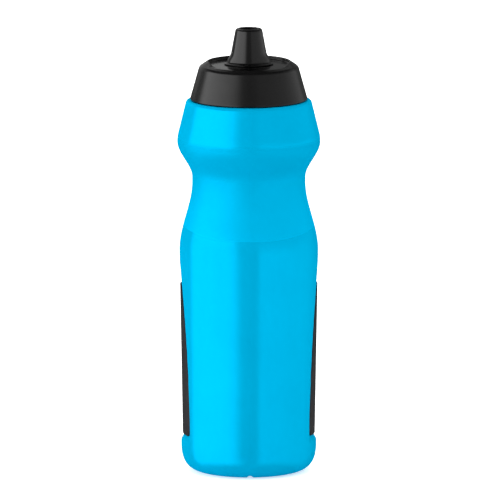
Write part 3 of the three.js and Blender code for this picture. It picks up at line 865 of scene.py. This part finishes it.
# Brightness of the studio by direction, in degrees. A large soft panel on the left and a much
# dimmer one on the right reach down below the bottle, with a dark gap between them at the camera.
LEFT_PANEL = [(-110, 0.88), (-75, 1), (-42, 0.98), (-27, 0.74), (-14, 0.04), (-6, 0)]
LEFT_FAR_EDGE = [(-118, 0), (-109, 1)]
LEFT_LEVEL = 3.55
RIGHT_PANEL = [(12, 0), (19, 1.6), (60, 1.55), (100, 1.4), (126, 0.9), (140, 0.2), (152, 0)]
LEFT_HEIGHT = [(-44, 0), (-28, 1), (20, 1), (27, 0)]
RIGHT_HEIGHT = [(-44, 0), (-28, 1), (0, 1), (12, 0.32), (22, 0.1), (45, 0.05), (58, 0)]
PLAIN_HEIGHT = [(-60, 0.1), (-12, 0.1), (0, 0.16), (12, 0.42), (24, 0.45), (36, 0.03)]
# These two light the bottle, but aren't reflected in it.
FILL = [
    (-150, 1.1), (-122, 1.0), (-104, 0.5), (-60, 0.3), (-40, 0), (100, 0), (125, 1.5), (160, 1.5)
]
OVERHEAD = [(20, 0), (45, 1.7), (70, 2.4), (90, 2.4)]
# Two panels high up behind the bottle, which the lid's sloping edge reflects. Their places are
# sideways distance over height.
BEHIND = 0.8
BEHIND_LEFT = [(-0.8, 0), (-0.6, 1), (-0.34, 1), (-0.24, 0)]
BEHIND_RIGHT = [(0.24, 0), (0.34, 0.38), (0.6, 0.38), (0.8, 0)]


def studio():
    world = bpy.data.worlds.new("studio")
    bpy.context.scene.world = world
    world.use_nodes = True
    tree = world.node_tree
    tree.nodes.clear()

    def math_node(operation, *values):
        node = tree.nodes.new("ShaderNodeMath")
        node.operation = operation
        for socket, value in zip(node.inputs, values):
            if isinstance(value, bpy.types.NodeSocket):
                tree.links.new(value, socket)
            else:
                socket.default_value = value
        return node.outputs[0]

    def product(first, *others):
        for other in others:
            first = math_node("MULTIPLY", first, other)
        return first

    def total(first, *others):
        for other in others:
            first = math_node("ADD", first, other)
        return first

    def between(value, low, high, to_low=0, to_high=1):
        node = tree.nodes.new("ShaderNodeMapRange")
        tree.links.new(value, node.inputs[0])
        for socket, number in zip(node.inputs[1:5], (low, high, to_low, to_high)):
            socket.default_value = number
        return node.outputs[0]

    split = tree.nodes.new("ShaderNodeSeparateXYZ")
    tree.links.new(tree.nodes.new("ShaderNodeTexCoord").outputs["Generated"], split.inputs[0])
    x, y, z = split.outputs
    # the direction round the bottle, with the front at 0.5, and up from straight down
    around = math_node("ARCTAN2", x, product(y, -1.0))
    around = total(product(around, 1 / (2 * math.pi)), 0.5)
    upright = total(product(math_node("ARCSINE", z), 1 / math.pi), 0.5)
    # the left panel's edge towards the camera leans away from it with height
    leaning = total(around, product(math_node("SUBTRACT", upright, 0.5), 0.06))

    def around_ramp(stops, value=around):
        return ramp(tree, value, [((a + 180) / 360, level) for a, level in stops])

    def upright_ramp(stops):
        return ramp(tree, upright, [((a + 90) / 180, level) for a, level in stops])

    def rise_and_fall(value, stops):
        (start, _), (rise, level), (fall, _), (end, _) = stops
        return product(between(value, start, rise, 0, level), between(value, fall, end, 1, 0))

    path = tree.nodes.new("ShaderNodeLightPath").outputs
    left = product(
        around_ramp(LEFT_PANEL, leaning),
        upright_ramp(LEFT_HEIGHT),
        around_ramp(LEFT_FAR_EDGE),
        LEFT_LEVEL,
    )
    right = product(around_ramp(RIGHT_PANEL), upright_ramp(RIGHT_HEIGHT))
    fill = product(total(around_ramp(FILL), upright_ramp(OVERHEAD)), path["Is Diffuse Ray"])
    aside = math_node("DIVIDE", x, z)
    behind = product(
        total(rise_and_fall(aside, BEHIND_LEFT), rise_and_fall(aside, BEHIND_RIGHT)),
        between(y, 0.1, 0.3, 0, BEHIND),
        between(z, 0.30, 0.45),
        path["Is Glossy Ray"],
    )
    light = total(left, right, fill, upright_ramp(PLAIN_HEIGHT), behind)
    level = tree.nodes.new("ShaderNodeMix")
    tree.links.new(path["Is Camera Ray"], level.inputs[0])
    tree.links.new(light, level.inputs[2])
    level.inputs[3].default_value = 1.0
    background = tree.nodes.new("ShaderNodeBackground")
    tree.links.new(level.outputs[0], background.inputs["Strength"])
    output = tree.nodes.new("ShaderNodeOutputWorld")
    tree.links.new(background.outputs[0], output.inputs[0])


def camera():
    azimuth, elevation, distance, width = math.radians(-1.4), math.radians(9.2), 8.0, 0.2551
    data = bpy.data.cameras.new("camera")
    obj = bpy.data.objects.new("camera", data)
    bpy.context.scene.collection.objects.link(obj)
    back = Vector((
        math.sin(azimuth) * math.cos(elevation),
        -math.cos(azimuth) * math.cos(elevation),
        math.sin(elevation),
    ))
    target = Vector((0.0006, 0, 0.1137))
    obj.location = target + back * distance
    obj.rotation_mode = "QUATERNION"
    obj.rotation_quaternion = (-back).to_track_quat("-Z", "Y")
    data.sensor_width = 36
    data.lens = 36 * distance / width
    data.clip_end = 60
    bpy.context.scene.camera = obj


floor()
card("left_card", -340, 2, 0.42)
card("right_card", 2, 340, 0.13)
studio()
camera()
bpy.context.scene.view_settings.view_transform = "Standard"
bpy.context.scene.view_settings.look = "None"
